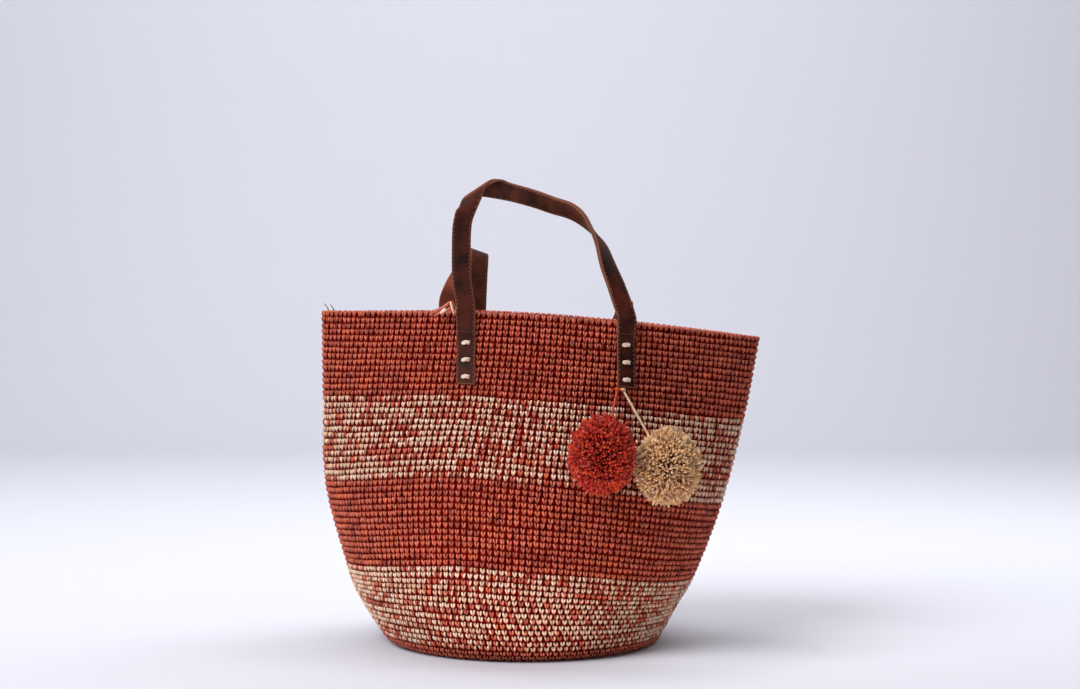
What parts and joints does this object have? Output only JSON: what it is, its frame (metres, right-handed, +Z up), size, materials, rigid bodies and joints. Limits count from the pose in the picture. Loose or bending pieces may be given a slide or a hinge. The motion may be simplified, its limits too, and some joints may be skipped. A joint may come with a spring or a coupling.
{
  "type": "raffia bag",
  "caption": "Crocheted raffia tote with a round base, a flattened oval mouth, laced leather strap handles and yarn pompoms hanging on cords.",
  "frame": {"origin": "middle of the base's underside", "axes": "+Z up, the front with the pompoms faces -Y, +X to the viewer's right"},
  "size_m": [0.4156, 0.33, 0.4347],
  "materials": {
    "rust_raffia": "matt crocheted raffia",
    "mottled_raffia": "matt crocheted raffia, rust and natural",
    "leather": "satin strap leather",
    "leather_lining": "matt lining leather",
    "lace": "matt twisted cord",
    "red_yarn": "matt yarn",
    "natural_yarn": "matt yarn"
  },
  "bodies": {
    "bag": {"base_disc": "rust_raffia", "heel_band": "rust_raffia", "lower_mottled_band": "mottled_raffia", "middle_rust_band": "rust_raffia", "upper_mottled_band": "mottled_raffia", "top_rust_band": "rust_raffia", "rim_edging": "rust_raffia", "front_left_tab": "leather", "front_right_tab": "leather", "back_left_tab": "leather", "back_right_tab": "leather", "front_left_lining_end": "leather_lining", "front_right_lining_end": "leather_lining", "back_left_lining_end": "leather_lining", "back_right_lining_end": "leather_lining", "front_left_lace_1": "lace", "front_left_lace_2": "lace", "front_left_lace_3": "lace", "front_right_lace_1": "lace", "front_right_lace_2": "lace", "front_right_lace_3": "lace", "back_left_lace_1": "lace", "back_left_lace_2": "lace", "back_left_lace_3": "lace", "back_right_lace_1": "lace", "back_right_lace_2": "lace", "back_right_lace_3": "lace"},
    "front_handle": {"front_strap": "leather", "front_strap_lining": "leather_lining"},
    "back_handle": {"back_strap": "leather", "back_strap_lining": "leather_lining"},
    "red_hanger": {"red_knot": "red_yarn"},
    "red_tassel": {"red_cord": "red_yarn", "red_pompom": "red_yarn"},
    "natural_hanger": {"natural_knot": "natural_yarn"},
    "natural_tassel": {"natural_cord": "natural_yarn", "natural_pompom": "natural_yarn"}
  },
  "joints": [
    {"name": "front_handle_fold", "type": "hinge", "parent": "bag", "child": "front_handle", "pos_m": [0.02112, -0.08248, 0.31107], "axis": [0.9973, -0.0402, -0.0622], "range_deg": [-40, 100]},
    {"name": "back_handle_fold", "type": "hinge", "parent": "bag", "child": "back_handle", "pos_m": [0.02598, 0.07883, 0.31076], "axis": [0.9973, -0.0301, -0.0671], "range_deg": [0, 45]},
    {"name": "red_lift", "type": "hinge", "parent": "bag", "child": "red_hanger", "pos_m": [0.08482, -0.0979, 0.24189], "axis": [-1, 0, 0], "range_deg": [0, 45]},
    {"name": "red_sway", "type": "hinge", "parent": "red_hanger", "child": "red_tassel", "pos_m": [0.08482, -0.0979, 0.24189], "axis": [0.39, -0.905, 0.17], "range_deg": [-35, 0]},
    {"name": "natural_lift", "type": "hinge", "parent": "bag", "child": "natural_hanger", "pos_m": [0.08996, -0.0957, 0.24131], "axis": [-1, 0, 0], "range_deg": [0, 45]},
    {"name": "natural_sway", "type": "hinge", "parent": "natural_hanger", "child": "natural_tassel", "pos_m": [0.08996, -0.0957, 0.24131], "axis": [0.39, -0.905, 0.17], "range_deg": [0, 35]}
  ]
}
